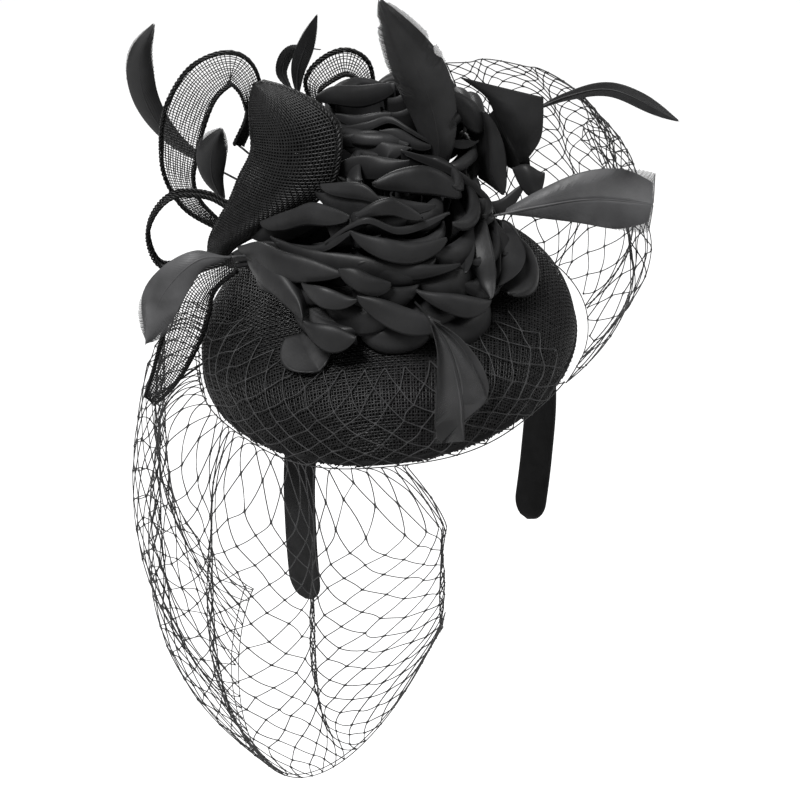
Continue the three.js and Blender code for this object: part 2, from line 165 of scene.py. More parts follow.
CROWN_AXES = crown_axes()
CROWN_CENTRE = box_centre("rim_wire") - RIM_WIRE_HEIGHT * CROWN_AXES[2]


def from_crown(points):
    """Crown frame to row frame."""
    return CROWN_CENTRE + points @ CROWN_AXES


def from_row(points):
    """Row frame to row frame, for pieces that aren't on the crown."""
    return points


def from_rose(points):
    """Rose frame, which leans along x, to row frame."""
    x, y, z = points[..., 0], points[..., 1], points[..., 2]
    cosine, sine = math.cos(ROSE_LEAN), math.sin(ROSE_LEAN)
    leaned = np.stack([x * cosine + z * sine, y, z * cosine - x * sine], axis=-1)
    return from_crown(leaned + ROSE_PLACE)


def from_bloom(points):
    """Second flower's frame to row frame."""
    return from_crown(points + np.array(BLOOM_PLACE))


# ---------- Mesh making ----------


class Shape:
    """Vertices and faces gathered from sheets and tubes, made into one piece at the end."""

    def __init__(self, place=from_crown):
        self.place = place
        self.vertices = []
        self.faces = []
        self.count = 0

    def add(self, points, faces):
        """Adds points, listed one to a row, and faces that number them."""
        points = points.reshape(-1, 3)
        self.vertices.append(self.place(points) * MM)
        self.faces.append(faces + self.count)
        self.count += len(points)

    def piece(self, name, material, slot, stands_for, body="root"):
        """Makes the object, with its material, CAD nodes and body, if it has one; the record slot is
        not used.
        """
        mesh = bpy.data.meshes.new(name)
        faces = [face for block in self.faces for face in block.tolist()]
        mesh.from_pydata(np.concatenate(self.vertices).tolist(), [], faces)
        mesh.polygons.foreach_set("use_smooth", [True] * len(mesh.polygons))
        mesh.update()
        made = bpy.data.objects.new(name, mesh)
        bpy.context.scene.collection.objects.link(made)
        made.data.materials.append(material)
        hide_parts(*stands_for)
        if body:
            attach(made, body)
        return made


def grid_index(rows, columns):
    """Vertex numbers of a grid, row by row."""
    return np.arange(rows * columns).reshape(rows, columns)


def quads_of(index):
    """Quads over a grid of vertex numbers."""
    quads = np.stack([index[:-1, :-1], index[1:, :-1], index[1:, 1:], index[:-1, 1:]], axis=-1)
    return quads.reshape(-1, 4)


def closed_sheet(shape, surface, steps_u, steps_v, thickness, bead=None):
    """A thin closed sheet along surface(u, v); bead(u, v) thickens it, as a rolled edge does."""
    shares = np.linspace(0, 1, steps_u + 1), np.linspace(0, 1, steps_v + 1)
    u, v = np.meshgrid(*shares, indexing="ij")
    centre = surface(u, v)
    normal = unit(np.cross(np.gradient(centre, axis=0), np.gradient(centre, axis=1)))
    half = np.full(u.shape, thickness / 2) if bead is None else thickness / 2 * (1 + bead(u, v))
    outer, inner = centre + normal * half[..., None], centre - normal * half[..., None]
    index = grid_index(steps_u + 1, steps_v + 1)
    size = index.size
    border = np.concatenate([index[:-1, 0], index[-1, :-1], index[:0:-1, -1], index[0, :0:-1]])
    following = np.roll(border, -1)
    rim = np.stack([border + size, following + size, following, border], axis=-1)
    faces = np.concatenate([quads_of(index), quads_of(index)[:, ::-1] + size, rim])
    shape.add(np.concatenate([outer.reshape(-1, 3), inner.reshape(-1, 3)]), faces)


def tubes(shape, lines, radius, sides=4, flat=1.0, up=(0.13, 0.21, 0.97)):
    """Closed tubes along lines of points, with their width flat times their height."""
    lines = np.asarray(lines, float)
    count, steps = lines.shape[:2]
    tangent = unit(np.gradient(lines, axis=1))
    side = unit(np.cross(np.broadcast_to(up, lines.shape), tangent))
    lift = np.cross(tangent, side)
    radius = np.broadcast_to(np.asarray(radius, float), (count, steps))[..., None, None]
    angle = 2 * PI * (np.arange(sides) + 0.5) / sides
    across, above = np.cos(angle)[:, None], np.sin(angle)[:, None]
    ring = side[:, :, None] * across * flat + lift[:, :, None] * above
    points = lines[:, :, None] + ring * radius
    index = np.arange(count * steps * sides).reshape(count, steps, sides)
    turned = np.roll(index, -1, axis=2)
    walls = np.stack([index[:, :-1], turned[:, :-1], turned[:, 1:], index[:, 1:]], axis=-1)
    shape.add(points, walls.reshape(-1, 4))
    offset = shape.count - points.size // 3
    shape.faces.append(index[:, 0, ::-1] + offset)
    shape.faces.append(index[:, -1] + offset)


def spline(route, samples):
    """Evenly spaced points on a centripetal Catmull-Rom curve through the route."""
    knots = np.asarray(route, float)
    knots = np.vstack([2 * knots[0] - knots[1], knots, 2 * knots[-1] - knots[-2]])
    share = np.linspace(0, 1, 60)[:, None]
    stretches = []
    for p0, p1, p2, p3 in zip(knots, knots[1:], knots[2:], knots[3:]):
        d0, d1, d2 = (math.sqrt(np.linalg.norm(b - a)) for a, b in ((p0, p1), (p1, p2), (p2, p3)))
        m1 = ((p1 - p0) / d0 - (p2 - p0) / (d0 + d1) + (p2 - p1) / d1) * d1
        m2 = ((p2 - p1) / d1 - (p3 - p1) / (d1 + d2) + (p3 - p2) / d2) * d1
        cubic = (2 * p1 - 2 * p2 + m1 + m2) * share**3
        square = (3 * p2 - 3 * p1 - 2 * m1 - m2) * share**2
        stretches.append(p1 + m1 * share + square + cubic)
    line = np.concatenate(stretches)
    walked = np.concatenate([[0], np.cumsum(np.linalg.norm(np.diff(line, axis=0), axis=1))])
    wanted = np.linspace(0, walked[-1], samples)
    return np.stack([np.interp(wanted, walked, line[:, k]) for k in range(3)], axis=-1)


class Strip:
    """A route with a width direction: place(t, across, above) gives points beside it."""

    def __init__(self, route, direction, samples=400):
        self.line = spline(route, samples)
        self.length = np.linalg.norm(np.diff(self.line, axis=0), axis=1).sum()
        tangent = unit(np.gradient(self.line, axis=0))
        given = np.atleast_2d(np.asarray(direction, float))
        share, known = np.linspace(0, 1, samples), np.linspace(0, 1, len(given))
        direction = np.stack([np.interp(share, known, given[:, k]) for k in range(3)], axis=-1)
        side = direction - (direction * tangent).sum(axis=1, keepdims=True) * tangent
        self.side = unit(side)
        self.up = np.cross(tangent, self.side)

    def place(self, t, across, above=0.0):
        t = np.asarray(t, float)
        sideways = interpolated(self.side, t) * np.asarray(across)[..., None]
        upwards = interpolated(self.up, t) * np.asarray(above)[..., None]
        return interpolated(self.line, t) + sideways + upwards


# ---------- Materials ----------


class Look:
    """A node material that starts from one Principled shader."""

    def __init__(self, name, colour, roughness, **settings):
        self.material = bpy.data.materials.new(name)
        self.material.use_nodes = True
        self.nodes = self.material.node_tree.nodes
        self.links = self.material.node_tree.links
        self.shader = self.nodes["Principled BSDF"]
        self.colour = (colour, colour, colour * 1.03, 1)
        self.shader.inputs["Base Color"].default_value = self.colour
        self.shader.inputs["Roughness"].default_value = roughness
        for socket, value in settings.items():
            self.shader.inputs[socket.replace("_", " ")].default_value = value
        self.place = self.nodes.new("ShaderNodeTexCoord").outputs["Object"]
        self.height = None

    def node(self, kind, output, **inputs):
        """One output of a new node, whose inputs are linked to outputs or set to values."""
        made = self.nodes.new("ShaderNode" + kind)
        for name, value in inputs.items():
            socket = made.inputs[name.replace("_", " ")]
            if isinstance(value, bpy.types.NodeSocket):
                self.links.new(value, socket)
            else:
                socket.default_value = value
        return made.outputs[output]

    def noise(self, scale, detail=3.0, stretch=(1, 1, 1)):
        """Noise of about 1/scale metres, drawn out along an axis by a small stretch value."""
        place = self.node("Mapping", "Vector", Vector=self.place, Scale=stretch)
        return self.node("TexNoise", "Fac", Vector=place, Scale=scale, Detail=detail)

    def bands(self, scale, direction="DIAGONAL"):
        """Fine parallel lines, as in a weave or a rib."""
        lines = self.node("TexWave", "Fac", Vector=self.place, Scale=scale)
        lines.node.bands_direction = direction
        return lines

    def shade(self, factor, dark, light):
        """Colour between dark and light shares of the base, by factor."""
        ramp = self.node("ValToRGB", "Color", Fac=factor)
        for element, place, share in zip(ramp.node.color_ramp.elements, (0.3, 0.7), (dark, light)):
            element.position = place
            element.color = [c * share for c in self.colour[:3]] + [1]
        self.links.new(ramp, self.shader.inputs["Base Color"])
        return self

    def gloss(self, factor, low, high):
        """Roughness between low and high, by factor."""
        spread = self.node("MapRange", "Result", Value=factor, To_Min=low, To_Max=high)
        self.links.new(spread, self.shader.inputs["Roughness"])
        return self

    def bump(self, factor, depth, strength=0.5):
        """Fine relief of a depth in millimetres, on top of any relief before it."""
        below = {"Normal": self.height} if self.height else {}
        self.height = self.node(
            "Bump", "Normal", Height=factor, Distance=depth * MM, Strength=strength, **below
        )
        self.links.new(self.height, self.shader.inputs["Normal"])
        return self


def straw_look():
    look = Look("straw", 0.0025, 0.38, Specular_IOR_Level=0.14)
    strand = look.noise(420, 2)
    look.shade(strand, 0.5, 1.9).gloss(look.noise(900, 1), 0.28, 0.6)
    return look.bump(look.noise(2500, 2), 0.05).material


def straw_backing_look():
    look = Look("straw_lining", 0.002, 0.85, Specular_IOR_Level=0.08)
    look.shade(look.noise(300), 0.6, 1.5)
    look.bump(look.bands(420, "X"), 0.2)
    return look.bump(look.bands(420, "Y"), 0.2).material


def satin_look():
    look = Look("satin", 0.008, 0.42, Specular_IOR_Level=0.1)
    look.shade(look.noise(45, 4), 0.6, 1.5).gloss(look.noise(160, 3), 0.34, 0.58)
    look.bump(look.noise(110, 4, (1, 1, 0.25)), 0.8, 0.5)
    return look.bump(look.noise(1400, 2), 0.06, 0.4).material


def felt_look():
    look = Look("felt", 0.004, 0.95, Sheen_Weight=0.1, Sheen_Roughness=0.6, Specular_IOR_Level=0.1)
    look.shade(look.noise(700, 5), 0.5, 1.7)
    return look.bump(look.noise(1300, 5), 0.3, 0.8).material


def feather_look(name, colour):
    look = Look(name, colour, 0.45, Specular_IOR_Level=0.16)
    look.shade(look.noise(60, 4), 0.6, 1.5)
    return look.gloss(look.noise(500, 2), 0.35, 0.6).material


def net_look():
    look = Look("net", 0.013, 0.6, Specular_IOR_Level=0.2)
    look.shade(look.noise(260, 2), 0.6, 1.5)
    return look.bump(look.bands(2600), 0.04).material


def ribbon_look():
    look = Look("ribbon", 0.006, 0.8, Specular_IOR_Level=0.1)
    look.shade(look.noise(160, 4), 0.7, 1.35)
    look.bump(look.bands(900, "Z"), 0.12, 0.5)
    return look.bump(look.noise(2200, 2), 0.05).material


def spring_look():
    look = Look("spring_plastic", 0.015, 0.4)
    look.shade(look.noise(70), 0.8, 1.2)
    return look.bump(look.noise(900, 3), 0.03).material


def wire_look():
    look = Look("wire", 0.16, 0.32, Metallic=1)
    look.shade(look.noise(400), 0.7, 1.2)
    return look.bump(look.bands(1500, "Z"), 0.02).material


STRAW = straw_look()
STRAW_BACKING = straw_backing_look()
SATIN = satin_look()
FELT = felt_look()
FEATHER = feather_look("feather", 0.009)
FEATHER_PALE = feather_look("feather_pale", 0.03)
NET = net_look()
RIBBON = ribbon_look()
SPRING = spring_look()
WIRE = wire_look()


def dress(node, look):
    """Gives a CAD node that stays in view its material."""
    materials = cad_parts[node].data.materials
    materials.clear()
    materials.append(look)


# The petals' cut areas are estimates. Their formulas were chosen with the areas of the modelled
# petals in view, so a match between the two is no evidence about the real cloth.


def petal_cut(mean_width, depth):
    """Estimated area of one petal before shaping: a rounded petal fills about 0.8 of its rectangle."""
    return 0.8 * mean_width * depth


def swag_cut(petals, ring):
    """Estimated area of a ring's listed petals, from their fold lines and how far they hang."""
    area = 0
    for owner, hang, route, *_ in petals:
        if owner == ring:
            fold_length = np.linalg.norm(np.diff(np.array(route, float), axis=0), axis=1).sum()
            area += petal_cut(fold_length, 16 + 1.25 * hang)
    return area


# ---------- Crown ----------


def dome_profile(inset):
    """Arc length, radius and height down the dome from its top to its rim."""
    angle = np.linspace(PI / 2, 0, 240)
    power = 2 / CROWN_SQUARENESS
    radius = (CROWN_RADIUS - inset) * np.maximum(np.cos(angle), 0) ** power
    height = (CROWN_HEIGHT - inset) * np.sin(angle) ** power
    step = np.hypot(np.diff(radius), np.diff(height))
    return np.concatenate([[0], np.cumsum(step)]), radius, height


def on_dome(x, y, inset):
    """Points of the dome at flat places x, y, measured along the cloth from the top."""
    walked, radius, height = dome_profile(0)

    def profile_at(distance):
        return np.array([np.interp(distance, walked, radius), np.interp(distance, walked, height)])

    distance = np.hypot(x, y)
    slope = profile_at(distance + 0.5) - profile_at(distance - 0.5)
    slope = slope / np.maximum(np.hypot(*slope), 1e-6)
    out, up = profile_at(distance) + inset * np.stack([slope[1], -slope[0]])
    return polar(out, np.arctan2(y, x), up)


def weave_threads(name, turned):
    """All the threads of the crown's straw cloth that run one way, over and under the others."""
    reach = dome_profile(0)[0][-1]
    shape = Shape()
    rows = int(reach / STRAW_PITCH)
    for row in range(-rows, rows + 1):
        offset = (row + 0.5) * STRAW_PITCH
        if abs(offset) >= reach:
            continue
        half = int(math.sqrt(reach**2 - offset**2) / STRAW_PITCH)
        if half < 1:
            continue
        crossing = np.arange(-half, half + 1)
        along = crossing * STRAW_PITCH
        drift = 0.14 * np.sin(row * 2.4 + along * 0.13) + 0.1 * np.sin(row * 5.1)
        across = offset + drift
        inset = 0.45 - WEAVE_RISE * (-1.0) ** (crossing + row + turned)
        line = on_dome(across, along, inset) if turned else on_dome(along, across, inset)
        width = STRAW_WIDTH * (1 + 0.22 * math.sin(row * 3.7))
        up = unit(line * (1, 1, 2.2) + (0, 0, 12))
        tubes(shape, line[None], 0.7 * STRAW_HEIGHT, flat=width / STRAW_HEIGHT, up=up[None])
    shape.piece(name, STRAW, "straw", ["crown_shell"])


def dome_sheet(inset, lowest):
    """The smooth dome surface at an inset, from a small hole at the top down to lowest."""
    walked, radius, height = dome_profile(inset)
    first, last = 0.4, np.interp(-lowest, -height, walked)

    def surface(u, v):
        distance = first + (last - first) * v
        out = np.interp(distance, walked, radius)
        return polar(out, 2 * PI * u, np.interp(distance, walked, height))

    return surface


def binding(u, v):
    """The tape rolled round the rim wire, gathered in fine ripples."""
    turn = PI * (1.9 * v - 0.45)
    ripple = 0.06 * np.sin(150 * 2 * PI * u + 6 * v)
    out = BINDING_RADIUS + BINDING_HALF_WIDTH * np.sin(turn) + ripple
    up = BINDING_HALF_WIDTH * (1 - np.cos(turn)) + 3.2 * (2 * np.abs(v - 0.5)) ** 6
    return polar(out, 2 * PI * u, up)


def make_crown():
    weave_threads("crown_straw_warp", 0)
    weave_threads("crown_straw_weft", 1)
    lining = Shape()
    closed_sheet(lining, dome_sheet(1.8, 2), 180, 60, 0.5)
    cloth = lining.piece("crown_lining_cloth", STRAW_BACKING, "straw", ["crown_lining"])
    rolled = Shape()
    closed_sheet(rolled, binding, 900, 14, 0.4)
    tape = rolled.piece("rim_binding_tape", RIBBON, "ribbon", ["rim_binding"])
    dress("rim_wire", WIRE)


# ---------- Headband ----------


def arch_route():
    """The band's inner face from the right tip over the top to the left tip."""
    half = [
        (TIP_HALF_SPAN, 3, -BAND_HEIGHT),
        (BAND_HALF_SPAN - 1, 2, -BAND_HEIGHT * 0.78),
        (BAND_HALF_SPAN, 1, -BAND_HEIGHT * 0.54),
        (BAND_HALF_SPAN * 0.89, 0.3, -BAND_HEIGHT * 0.26),
        (BAND_HALF_SPAN * 0.54, 0, -BAND_HEIGHT * 0.07),
    ]
    return [(-x, y, z) for x, y, z in half] + [(0, 0, 0)] + half[::-1]


ARCH = Strip(arch_route(), AWAY, 1200)
SADDLE_CENTRE = box_centre("saddle_pad") - SADDLE_PAD_HEIGHT * CROWN_AXES[2]


def sleeve(name, split_at, tip_at, arm):
    """A cloth tube over half of the spring, from the saddle to one rounded tip."""
    shape = Shape(from_row)

    def surface(u, v):
        t = split_at + (tip_at - split_at) * v
        from_tip = np.abs(t - tip_at) * ARCH.length
        inside = np.clip(1 - from_tip / (TIP_ROUNDING - 1), 0, 1)
        share = np.sqrt(np.maximum(1 - inside**2, 0.0004))
        wide = rounded(np.cos(2 * PI * u), 0.35) * (BAND_WIDTH / 2 - 0.1)
        high = rounded(np.sin(2 * PI * u), 0.6) * BAND_THICKNESS / 2
        pinch = 0.35 + 0.65 * np.minimum(1, share * 1.6)
        return ARCH.place(t, wide * share, BAND_THICKNESS / 2 + high * pinch)

    direction = 1 if tip_at > split_at else -1
    closed_sheet(shape, lambda u, v: surface(u * direction, v), 28, 150, 0.3)
    nodes = ["band_cover_" + arm, "band_cover_bridge"]
    cover = shape.piece(name, RIBBON, "ribbon", nodes, body=None)
    hinge = abs(tip_at - HINGE_AT)
    start, end = (ARCH.place(hinge - side * direction * HINGE_REACH, 0.0) * MM for side in (1, -1))
    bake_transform(cover)


def from_saddle(points):
    """Saddle frame, on the band under the crown's top, to row frame."""
    normal = CROWN_AXES[2]
    across = unit(np.array(AWAY) - normal[1] * normal)
    axes = np.stack([np.cross(across, normal), across, normal])
    return SADDLE_CENTRE + points @ axes


def make_headband():
    saddle_at = 0.5 - 28 / ARCH.length
    for part in ("arm_right", "bridge", "arm_left"):
        dress("band_core_" + part, SPRING)
    sleeve("band_sleeve_right", saddle_at, 0, "arm_right")
    sleeve("band_sleeve_left", saddle_at, 1, "arm_left")


def make_saddle():
    pad = Shape(from_saddle)

    def cushion(u, v):
        turn, tilt = 2 * PI * u, PI * (v - 0.5)
        flat = 0.3
        belt = np.cos(tilt) ** flat
        wide = PAD_HALF_WIDTH * rounded(np.cos(turn), flat) * belt
        deep = PAD_HALF_DEPTH * rounded(np.sin(turn), flat) * belt
        high = 0.8 * rounded(np.sin(tilt), 0.7)
        return np.stack([wide, deep, SADDLE_PAD_HEIGHT + high], axis=-1)

    u, v = np.meshgrid(np.linspace(0, 1, 49)[:-1], np.linspace(0, 1, 17)[1:-1], indexing="ij")
    index = grid_index(48, 15)
    ring = np.vstack([index, index[:1]])
    pad.add(cushion(u, v), quads_of(ring))
    pad.faces.append(index[::-1, 0][None])
    pad.faces.append(index[:, -1][None])
    pad.piece("saddle_cushion", FELT, "felt", ["saddle_pad"])

    strap = Shape(from_saddle)
    route = [(0, -18, 4.9), (0, -13, 4.9), (0, -11.2, 2.5), (0, -10.4, 0.3), (0, 0, -1.8),
             (0, 10.4, -3.2), (0, 11.2, 0.5), (0, 13, 4.9), (0, 18, 4.9)]
    keeper = Strip(route, (1, 0, 0))
    closed_sheet(strap, lambda u, v: keeper.place(v, KEEPER_WIDTH * (u - 0.5)), 16, 80, 0.9)
    felt = strap.piece("keeper_felt_strap", FELT, "felt", ["keeper_strap"])

    for side, end in ((-1, "front"), (1, "back")):
        stitches = Shape(from_saddle)
        turn = np.linspace(0, PI, 9)
        for number in range(4):
            x = -3.6 + 2.4 * number
            loop = np.stack([x - 0.6 + 0.5 * turn / PI, side * (15.5 - 1.1 * np.cos(turn)),
                             4.3 - 0.6 * np.sin(turn)], axis=-1)
            tubes(stitches, loop[None], 0.18, sides=6, up=(1, 0, 0))
        stitches.piece("keeper_stitches_" + end, RIBBON, "ribbon", ["keeper_tack_" + end])


# ---------- Flowers ----------

BACK, FRONT, LEFT, RIGHT = PI / 2, -PI / 2, PI, 0.0


def reach_within(angle, radius, limits):
    """How far a petal goes at an angle, cut short where another flower is in its way."""
    reach = np.full(np.shape(angle), float(radius))
    for direction, distance in limits:
        towards = np.maximum(np.cos(angle - direction), 1e-6)
        reach = np.minimum(reach, distance / towards)
    return reach


def swag_petal(angle, half, radius, low, high, drop, limits, curl):
    """A broad petal that rises from the middle, then curls down in a lens-shaped lip."""
    fold = 0.62

    def surface(u, v):
        s = 2 * u - 1
        rise = np.minimum(v / fold, 1)
        theta = angle + half * s * (0.55 + 0.45 * rise)
        lens = np.maximum(1 - np.abs(s) ** 2.2, 0.0) ** 0.75 + 0.06
        reach = reach_within(theta, radius, limits) * (1 - 0.08 * np.abs(s) ** 3)
        out = PETAL_FOOT + (reach - PETAL_FOOT) * np.sin(PI / 2 * rise)
        up = low + (high - low) * (1 - np.cos(PI / 2 * rise)) + 2 * lens * np.sin(PI * rise)
        turn = curl * np.maximum(v - fold, 0) / (1 - fold)
        bend = drop * lens / (1 - math.cos(curl))
        wave = 0.7 * np.sin(5 * theta + 9 * v + angle) * rise**2
        return polar(out + bend * 0.8 * np.sin(turn), theta, up - bend * (1 - np.cos(turn)) + wave)

    return surface


def lip_bead(u, v):
    """The rolled, heat-sealed edge along a petal's free side."""
    edge = np.exp(-(((1 - v) / 0.022) ** 2))
    sides = np.exp(-((u / 0.012) ** 2)) + np.exp(-(((1 - u) / 0.012) ** 2))
    return 0.9 * np.maximum(edge, 0.6 * sides * (v > 0.3))


def add_petal(shape, surface, steps_u, steps_v):
    closed_sheet(shape, surface, steps_u, steps_v, PETAL_THICKNESS, lip_bead)


def swag(route, hang, outward=None, fall=(0, 0, -1), rear=(0, 0, -13), depth=9, curl=1.75):
    """A petal along a fold line: it sinks away behind the fold, and its lip curls over in front."""
    fold = 0.5
    line = spline(route, 160)
    middle = line[len(line) // 2]
    fall, rear = np.array(fall, float), np.array(rear, float)

    def surface(u, v):
        place = interpolated(line, u)
        facing = (place - SWAG_AXIS) * (1, 1, 0) if outward is None else np.array(outward, float)
        out = unit(np.broadcast_to(facing, place.shape))
        s = 2 * u - 1
        lens = np.maximum(1 - np.abs(s) ** 1.9, 0.0) ** 0.85 + 0.04
        turn = (curl * np.maximum(v - fold, 0) / (1 - fold))[..., None]
        bend = (hang * lens / (1 - math.cos(curl)))[..., None]
        back = (np.maximum(fold - v, 0) / fold)[..., None]
        place = middle + (place - middle) * (1 - 0.35 * back)
        lip = bend * (out * np.sin(turn) * 0.5 + fall * (1 - np.cos(turn)))
        crease = 0.6 * np.sin(7 * u + 5 * v + line[0, 0]) * np.sin(PI * v)
        return place + lip - out * depth * back + rear * back**1.3 + fall * crease[..., None]

    return surface


# Front petals of the rose: ring, how far the lip hangs, and the fold line in the crown's frame.
ROSE_SWAGS = [
    (1, 10, [(-60, 9, 44), (-52, 3, 53), (-42, -2, 58), (-30, -8, 58)]),
    (2, 9, [(-50, 6, 60), (-42, 2, 64), (-30, -4, 68), (-18, -8, 70)]),
    (1, 9, [(-27, -44, 50), (-19, -48, 50), (-7, -53, 47)]),
    (1, 10, [(-49, -6, 57), (-41, -18, 62), (-33, -28, 61), (-28, -36, 55), (-27, -44, 50)]),
    (1, 10, [(-5, -46, 60), (6, -48, 58), (17, -49, 53), (25, -50, 47)]),
    (1, 6.5, [(-26, -35, 61), (-17, -42, 62), (-5, -46, 59)]),
    (1, 8, [(17, -42, 58), (27, -42, 55), (35, -39, 50), (44, -34, 44)]),
    (2, 10, [(-52, -4, 59), (-42, -14, 67), (-33, -24, 68), (-20, -32, 68), (-9, -39, 67)]),
    (2, 8, [(-11, -39, 68), (-4, -41, 69), (2, -42, 66), (8, -43, 62)]),
    (2, 8, [(-38, -10, 66), (-23, -24, 68), (-2, -32, 68), (19, -34, 64), (34, -30, 59)]),
    (3, 8, [(-5, -32, 80), (0, -33, 78), (10, -34, 76), (21, -30, 71), (30, -27, 69)]),
    (3, 3.5, [(-36, -14, 65), (-24, -21, 68), (-15, -27, 73), (-5, -32, 80)]),
    (3, 9, [(-42, -2, 67), (-29, -9, 77), (-20, -14, 83), (-11, -22, 84), (-5, -28, 84)]),
    (4, 2.4, [(-16, -28, 73), (-5, -29, 82), (2, -30, 85), (12, -29, 78), (21, -24, 75),
              (32, -20, 76)]),
    (4, 6, [(-3, -27, 84), (5, -26, 89), (11, -25, 89), (16, -25, 85), (22, -25, 79)]),
    (4, 8, [(-19, -2, 79), (-6, -14, 84), (10, -20, 86), (27, -18, 79)]),
    (5, 6, [(-16, -8, 86), (-6, -14, 91), (1, -18, 91), (7, -23, 87)]),
    (5, 11, [(4, -14, 89), (13, -11, 92), (23, -9, 91), (31, -6, 84), (35, 2, 72)]),
    (5, 5, [(-12, 18, 89), (-1, 16, 90), (8, 12, 90), (19, 6, 89)]),
    (5, 9, [(-13, 7, 84), (-1, 4, 89), (10, 2, 89), (18, 0, 88)]),
    (4, 7, [(15, 4, 90), (30, 3, 84), (39, 4, 74), (45, 5, 63), (48, 6, 54)]),
]
# Petals that stand on edge at the rose's right: ring, lip, route, where the lip turns.
ROSE_STANDING = [
    (4, 4.5, [(32, 6, 68), (33, -3, 64), (35, -16, 58), (36, -32, 56)], (1, 0.1, 0)),
    (3, 8, [(43, -5, 62), (39, -12, 59), (38, -20, 54), (40, -27, 47), (44, -34, 44)], (1, 0.2, 0)),
    (3, 4, [(47, -4, 61), (49, -5, 56), (49, -12, 47), (47, -23, 43), (44, -34, 44)], (-0.8, 0.6, 0)),
    (3, 4, [(36, -2, 62), (41, -4, 62), (48, -4, 61)], (0, 0, -1)),
    (2, 9, [(50, 4, 53), (49, -4, 48), (48, -14, 45), (47, -26, 44)], (1, 0.3, -0.2)),
]
TO_FRONT = (0.15, -0.9, 0.3)


def finish_ring(shape, flower, ring, cut, hanging, standing, **swag_settings):
    """Adds a ring's listed petals, then makes the ring one piece."""
    shape.place = from_crown
    for owner, hang, route in hanging:
        if owner == ring:
            add_petal(shape, swag(route, hang, **swag_settings), 40, 30)
    for owner, hang, route, fall in standing:
        if owner == ring:
            rear = tuple(-6 * part for part in fall)
            add_petal(shape, swag(route, hang, TO_FRONT, fall, rear, 9, 1.9), 40, 30)
    cut += swag_cut(hanging, ring) + swag_cut(standing, ring)
    node = f"{flower}_petals_{ring + 1}"
    petals = shape.piece(f"{flower}_petal_cloth_{ring + 1}", SATIN, "satin", [node])


def make_rose():
    rng = np.random.default_rng(7)
    limits_low = [(BACK, 17)]
    limits_high = [(BACK, 17), (LEFT, 15)]
    for i, (radius, count) in enumerate(zip([50, 47, 43, 37, 30, 22], [8, 8, 7, 6, 5, 4])):
        shape = Shape(from_rose)
        half = PI / count * 1.16
        for k in range(count):
            angle = 2 * PI * (k + 0.5 * (i % 2)) / count + rng.uniform(-0.12, 0.12)
            lift = 1.0 * (k % 2) + rng.uniform(-0.8, 0.8)
            facing = max(0.0, math.cos(angle - FRONT)) ** 0.5
            sideways = max(0.0, math.cos(angle + PI / 5)) ** 2 * (i > 0)
            reach = radius * rng.uniform(0.95, 1.03) * (1 - 0.2 * facing - 0.14 * sideways)
            low, high = 41 + 3 * i + lift, 45.5 + 7.6 * i + lift - 4 * facing
            drop, curl = rng.uniform(7, 10), rng.uniform(1.8, 2.5)
            limits = limits_high if i > 1 else limits_low
            add_petal(shape, swag_petal(angle, half, reach, low, high, drop, limits, curl), 30, 24)
        cut = count * petal_cut(half * radius, radius + 8)
        finish_ring(shape, "rose", i, cut, ROSE_SWAGS, ROSE_STANDING)
    flower_heart("rose", from_rose, (2, 4, 0), 2.4, 58, 80, 2.1)
    wrapped_stem("rose", from_rose, 37.4, 45.5)


def rolled_bud(centre, radius, low, high, start):
    """A petal rolled into a scroll at the heart of a flower."""

    def surface(u, v):
        out = radius * (0.8 + 0.3 * u) * (0.75 + 0.35 * np.sin(PI * 0.6 * v))
        up = low + (high - low) * v - 2.5 * v * np.cos(3.1 * u)
        return polar(out, start + BUD_TURN * u, up) + centre

    return surface


def flower_heart(flower, place, centre, growth, low, high, turn):
    """Petals rolled round each other."""
    heart = Shape(place)
    for k in range(BUD_PETALS):
        radius, top = 3 + growth * k, high - 3 * k
        add_petal(heart, rolled_bud(centre, radius, low, top, k * turn), 36, 12)
    rolled = heart.piece(flower + "_heart_roll", SATIN, "satin", [flower + "_heart"])


def wrapped_stem(flower, place, low, high):
    """A flower's short stem: wires bound together with thread."""
    shape = Shape(place)
    wires, turns = 6, 6
    up = np.linspace(low, high, 8)
    for k in range(wires):
        wire = polar(1.6, 2 * PI * k / wires + 0 * up, up)
        tubes(shape, wire[None], 0.8, sides=8, up=(1, 0, 0))
    share = np.linspace(0, 1, 120)
    thread = polar(2.45, 2 * PI * turns * share, low + 0.4 + (high - low - 0.8) * share)
    tubes(shape, thread[None], 0.32, sides=6)
    shape.piece(flower + "_stem_wires", FELT, "felt", [flower + "_stem"])


def cup_petal(angle, half, radius, low, high, roll, limits, tilt):
    """A tall petal of the second flower: it cups upward and its lip rolls outward."""
    fold = 0.74

    def surface(u, v):
        s = 2 * u - 1
        rise = np.minimum(v / fold, 1)
        theta = angle + half * s * (0.5 + 0.5 * rise) + tilt * rise
        reach = (reach_within(theta, radius, limits) - PETAL_FOOT) * (1 - 0.1 * np.abs(s) ** 2.5)
        out = PETAL_FOOT + reach * np.sin(PI / 2 * rise) ** 0.9
        up = low + (high - low) * rise**1.5 * (1 - 0.16 * np.abs(s) ** 2.5)
        turn = 3.4 * np.maximum(v - fold, 0) / (1 - fold)
        bend = roll * (1 - 0.5 * s**2)
        wave = 0.9 * np.sin(4 * theta + 7 * v + angle) * rise**2
        return polar(out + bend * (1 - np.cos(turn)) + wave, theta, up + bend * np.sin(turn))

    return surface


